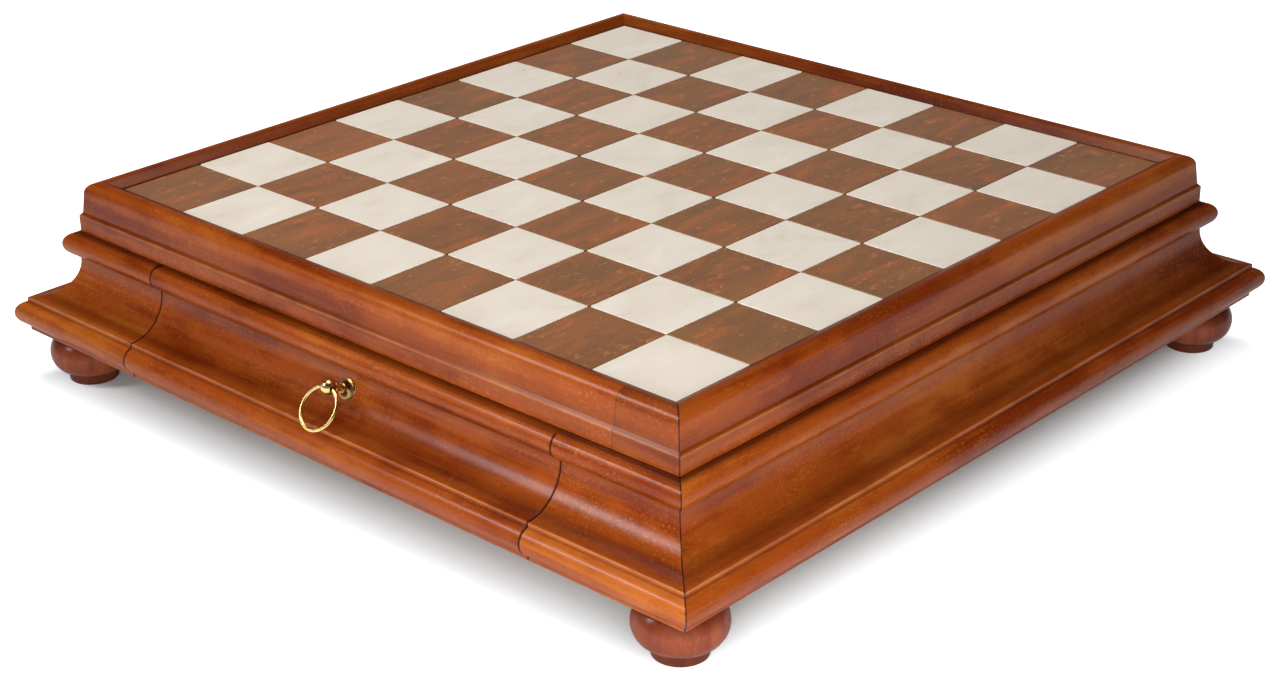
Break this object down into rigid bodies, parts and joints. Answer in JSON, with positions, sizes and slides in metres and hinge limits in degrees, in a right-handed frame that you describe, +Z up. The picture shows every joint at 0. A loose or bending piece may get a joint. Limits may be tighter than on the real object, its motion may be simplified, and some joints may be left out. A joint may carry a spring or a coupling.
{
  "type": "chess box with drawers",
  "caption": "Square wooden chess case with a stone chequerboard top, a coved base with felt-lined drawers on opposite sides, brass ring pulls and turned bun feet.",
  "frame": {"origin": "on the floor under the middle of the box", "axes": "+Z up; the front drawer opens towards -Y and the back drawer towards +Y; +X to the right, seen from the front"},
  "size_m": [0.3792, 0.3796, 0.0878],
  "materials": {
    "frame_wood": "reddish-brown stained hardwood under satin lacquer, grain along each length",
    "foot_wood": "darker red-brown stained and lacquered turned wood",
    "panel_wood": "plain birch-like plywood, sanded",
    "inner_wood": "unstained pale hardwood, sanded and waxed",
    "white_stone": "cream alabaster, polished, faint veins",
    "brown_stone": "brown alabaster, polished, rusty streaks and pale specks",
    "felt": "short green felt",
    "brass": "polished brass",
    "screw_steel": "zinc-plated steel"
  },
  "bodies": {
    "case": {"top_rail_front": "frame_wood", "top_rail_front_end": "frame_wood", "top_rail_right": "frame_wood", "top_rail_back": "frame_wood", "top_rail_left": "frame_wood", "side_moulding_left": "frame_wood", "side_moulding_right": "frame_wood", "corner_moulding_front_left": "frame_wood", "corner_moulding_front_right": "frame_wood", "corner_moulding_back_left": "frame_wood", "corner_moulding_back_right": "frame_wood", "board_panel": "panel_wood", "white_tiles": "white_stone", "brown_tiles": "brown_stone", "bottom_panel": "panel_wood", "runner_left": "inner_wood", "runner_right": "inner_wood", "centre_wall": "inner_wood", "foot_front_left": "foot_wood", "foot_front_right": "foot_wood", "foot_back_left": "foot_wood", "foot_back_right": "foot_wood", "foot_screws": "screw_steel", "panel_screws": "screw_steel"},
    "front_drawer": {"front_drawer_front": "frame_wood", "front_drawer_left_side": "inner_wood", "front_drawer_right_side": "inner_wood", "front_drawer_back": "inner_wood", "front_drawer_floor": "panel_wood", "front_drawer_felt": "felt", "front_drawer_long_divider": "inner_wood", "front_drawer_cross_divider_1": "inner_wood", "front_drawer_cross_divider_2": "inner_wood", "front_drawer_cross_divider_3": "inner_wood", "front_pull_post": "brass", "front_pull_rosette": "brass"},
    "front_ring": {"front_pull_ring": "brass"},
    "back_drawer": {"back_drawer_front": "frame_wood", "back_drawer_left_side": "inner_wood", "back_drawer_right_side": "inner_wood", "back_drawer_back": "inner_wood", "back_drawer_floor": "panel_wood", "back_drawer_felt": "felt", "back_drawer_long_divider": "inner_wood", "back_drawer_cross_divider_1": "inner_wood", "back_drawer_cross_divider_2": "inner_wood", "back_drawer_cross_divider_3": "inner_wood", "back_pull_post": "brass", "back_pull_rosette": "brass"},
    "back_ring": {"back_pull_ring": "brass"}
  },
  "joints": [
    {"name": "front_drawer_slide", "type": "slide", "parent": "case", "child": "front_drawer", "axis": [0, -1, 0], "range_m": [0, 0.115]},
    {"name": "back_drawer_slide", "type": "slide", "parent": "case", "child": "back_drawer", "axis": [0, 1, 0], "range_m": [0, 0.115]},
    {"name": "front_ring_swing", "type": "hinge", "parent": "front_drawer", "child": "front_ring", "pos_m": [0.0022, -0.17842, 0.05161], "axis": [-1, 0, 0], "range_deg": [-8.5, 140]},
    {"name": "back_ring_swing", "type": "hinge", "parent": "back_drawer", "child": "back_ring", "pos_m": [-0.0022, 0.17842, 0.05161], "axis": [1, 0, 0], "range_deg": [-8.5, 140]}
  ]
}
